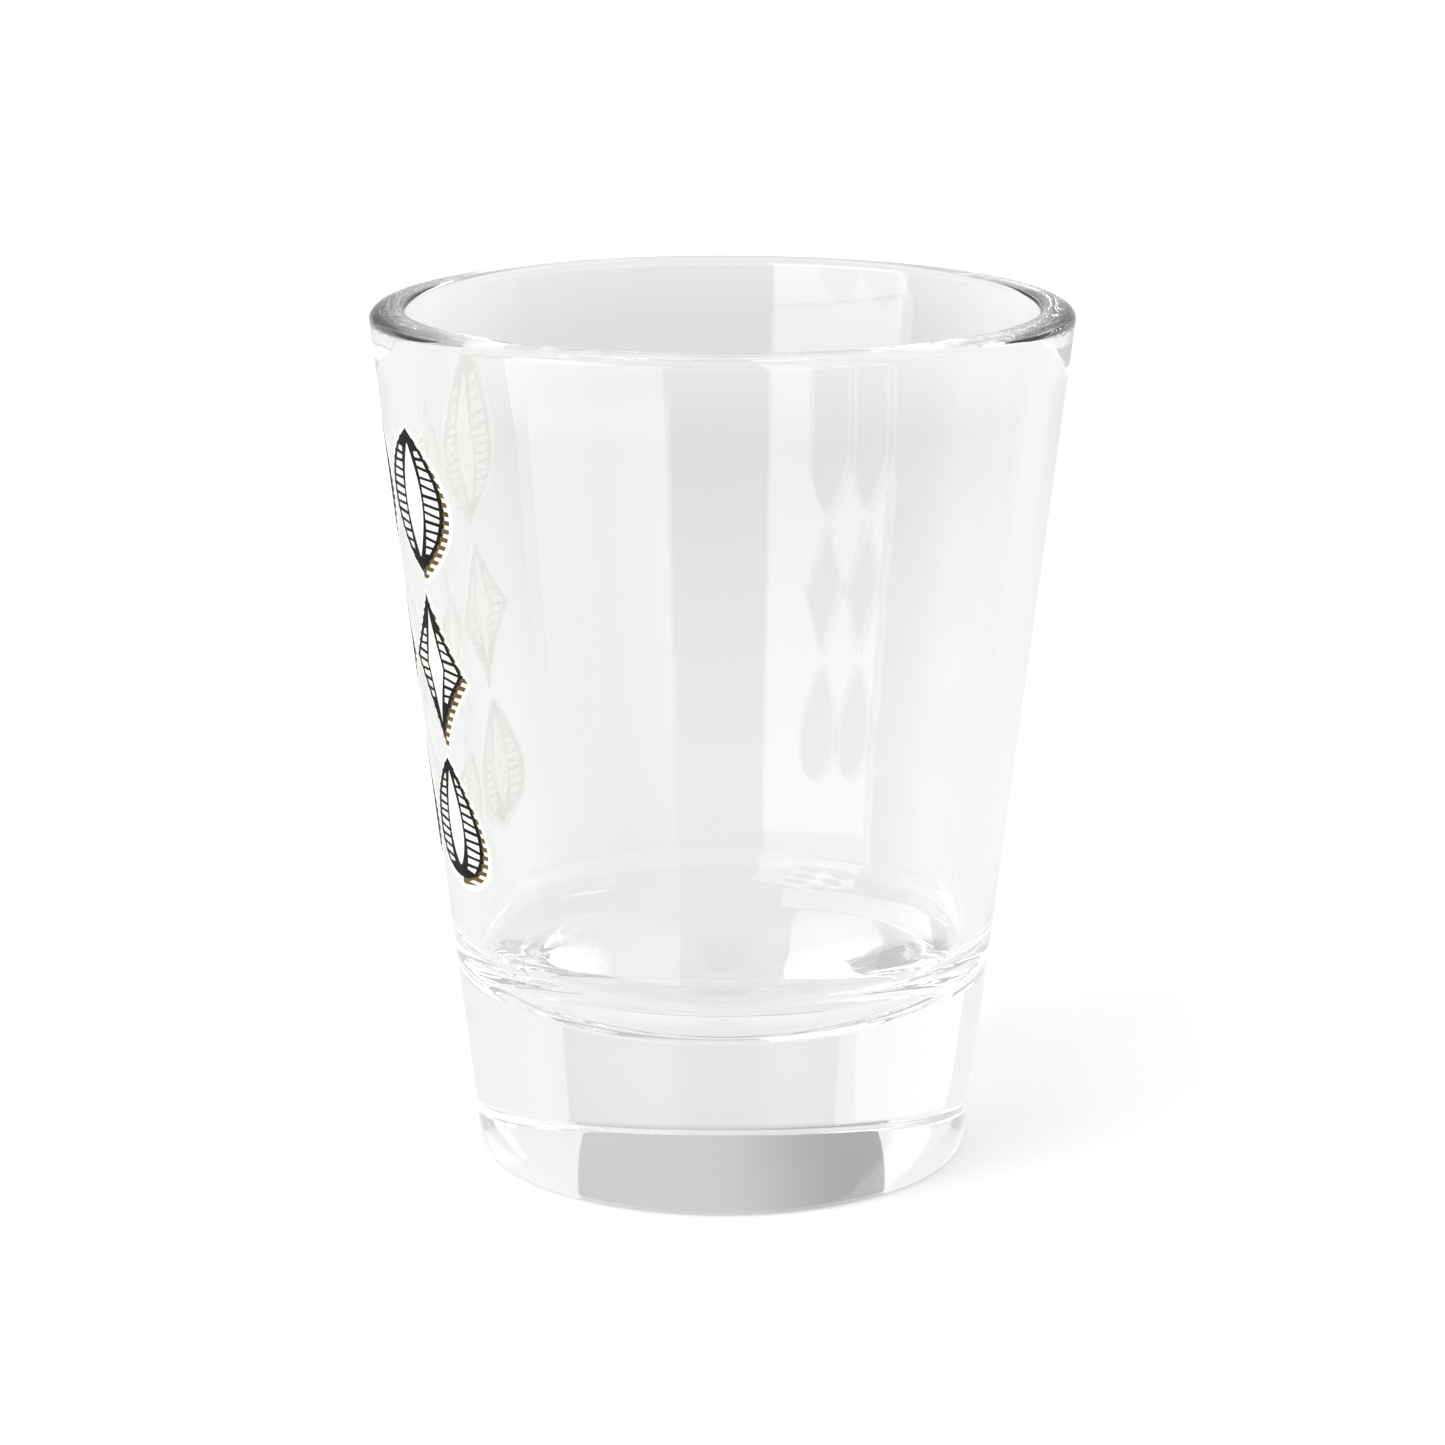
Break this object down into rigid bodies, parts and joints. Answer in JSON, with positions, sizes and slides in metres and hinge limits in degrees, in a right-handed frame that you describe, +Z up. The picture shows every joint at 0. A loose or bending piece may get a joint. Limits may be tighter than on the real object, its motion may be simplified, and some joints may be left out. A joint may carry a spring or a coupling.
{
  "type": "shot glass",
  "caption": "Small tapered drinking glass with a thick solid base, a rounded rim and an ornament of hatched leaves, stars and drops printed on one side.",
  "frame": {"origin": "centre of the flat underside of the base", "axes": "+Z up along the glass's axis, towards the rim; the print faces -X"},
  "size_m": [0.0482, 0.0482, 0.06],
  "materials": {
    "clear_glass": "clear fire-polished soda-lime glass",
    "white_ink": "satin opaque warm white ink",
    "ochre_ink": "satin ochre brown ink",
    "black_ink": "satin black ink"
  },
  "bodies": {
    "root": {"glass_body": "clear_glass", "white_underbase_top_left": "white_ink", "white_underbase_top_centre": "white_ink", "white_underbase_top_right": "white_ink", "white_underbase_middle_left": "white_ink", "white_underbase_middle_centre": "white_ink", "white_underbase_middle_right": "white_ink", "white_underbase_bottom_left": "white_ink", "white_underbase_bottom_centre": "white_ink", "white_underbase_bottom_right": "white_ink", "ochre_shadow_top_left": "ochre_ink", "ochre_shadow_top_centre": "ochre_ink", "ochre_shadow_top_right": "ochre_ink", "ochre_shadow_middle_left": "ochre_ink", "ochre_shadow_middle_centre": "ochre_ink", "ochre_shadow_middle_right": "ochre_ink", "ochre_shadow_bottom_left": "ochre_ink", "ochre_shadow_bottom_centre": "ochre_ink", "ochre_shadow_bottom_right": "ochre_ink", "black_linework_top_left": "black_ink", "black_linework_top_centre": "black_ink", "black_linework_top_right": "black_ink", "black_linework_middle_left": "black_ink", "black_linework_middle_centre": "black_ink", "black_linework_middle_right": "black_ink", "black_linework_bottom_left": "black_ink", "black_linework_bottom_centre": "black_ink", "black_linework_bottom_right": "black_ink"}
  },
  "joints": []
}
